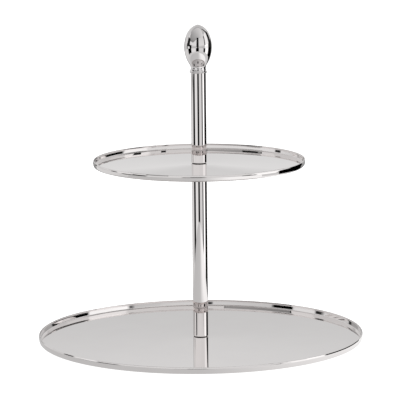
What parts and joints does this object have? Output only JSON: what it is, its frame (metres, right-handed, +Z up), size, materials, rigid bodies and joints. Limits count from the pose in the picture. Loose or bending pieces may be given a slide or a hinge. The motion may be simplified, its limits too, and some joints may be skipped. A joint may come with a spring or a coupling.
{
  "type": "tiered cake stand",
  "caption": "Round two-tier serving stand: shallow rimmed metal trays screwed to a central post with an egg-shaped finial, on small rubber feet.",
  "frame": {"origin": "on the table, under the middle of the stand", "axes": "+Z up along the post; -Y is the front; the feet stand at 45 degrees to X and Y"},
  "size_m": [0.3, 0.2999, 0.2966],
  "materials": {
    "polished_steel": "mirror-polished stainless sheet and tube",
    "polished_casting": "polished and plated casting",
    "turned_steel": "turned bar",
    "plated_steel": "bright zinc plate",
    "gasket_rubber": "smooth black sheet",
    "foot_rubber": "matt moulded"
  },
  "bodies": {
    "base": {"lower_tray": "polished_steel", "foot_rear_right": "foot_rubber", "foot_rear_left": "foot_rubber", "foot_front_left": "foot_rubber", "foot_front_right": "foot_rubber", "base_screw": "plated_steel", "base_spring_washer": "plated_steel", "base_flat_washer": "plated_steel"},
    "lower_thread": {"lower_post_gasket": "gasket_rubber"},
    "lower_post": {"lower_post_tube": "polished_steel", "lower_post_foot_plug": "turned_steel", "lower_post_head_plug": "turned_steel", "upper_tray_under_gasket": "gasket_rubber", "upper_tray": "polished_steel"},
    "upper_thread": {"upper_tray_top_gasket": "gasket_rubber"},
    "upper_post": {"upper_post_tube": "polished_steel", "upper_post_foot_plug": "turned_steel", "upper_post_head_plug": "turned_steel", "upper_post_stud": "plated_steel"},
    "finial_thread": {"finial_collar": "polished_casting"},
    "finial": {"finial_bulb": "polished_casting", "finial_stud": "plated_steel"}
  },
  "joints": [
    {"name": "lower_post_lift", "type": "slide", "parent": "base", "child": "lower_thread", "axis": [0, 0, 1], "range_m": [0, 0.01]},
    {"name": "lower_post_turn", "type": "hinge", "parent": "lower_thread", "child": "lower_post", "pos_m": [0, 0, 0.00764], "axis": [0, 0, 1], "range_deg": [0, 3600]},
    {"name": "upper_post_lift", "type": "slide", "parent": "lower_post", "child": "upper_thread", "axis": [0, 0, 1], "range_m": [0, 0.01]},
    {"name": "upper_post_turn", "type": "hinge", "parent": "upper_thread", "child": "upper_post", "pos_m": [0, 0, 0.16964], "axis": [0, 0, 1], "range_deg": [0, 3600]},
    {"name": "finial_lift", "type": "slide", "parent": "upper_post", "child": "finial_thread", "axis": [0, 0, 1], "range_m": [0, 0.008]},
    {"name": "finial_turn", "type": "hinge", "parent": "finial_thread", "child": "finial", "pos_m": [0, 0, 0.25894], "axis": [0, 0, 1], "range_deg": [0, 2880]}
  ],
  "couplings": [
    {"joint": "lower_post_turn", "follows": "lower_post_lift", "rad_per_m": 6283.2},
    {"joint": "upper_post_turn", "follows": "upper_post_lift", "rad_per_m": 6283.2},
    {"joint": "finial_turn", "follows": "finial_lift", "rad_per_m": 6283.2}
  ]
}
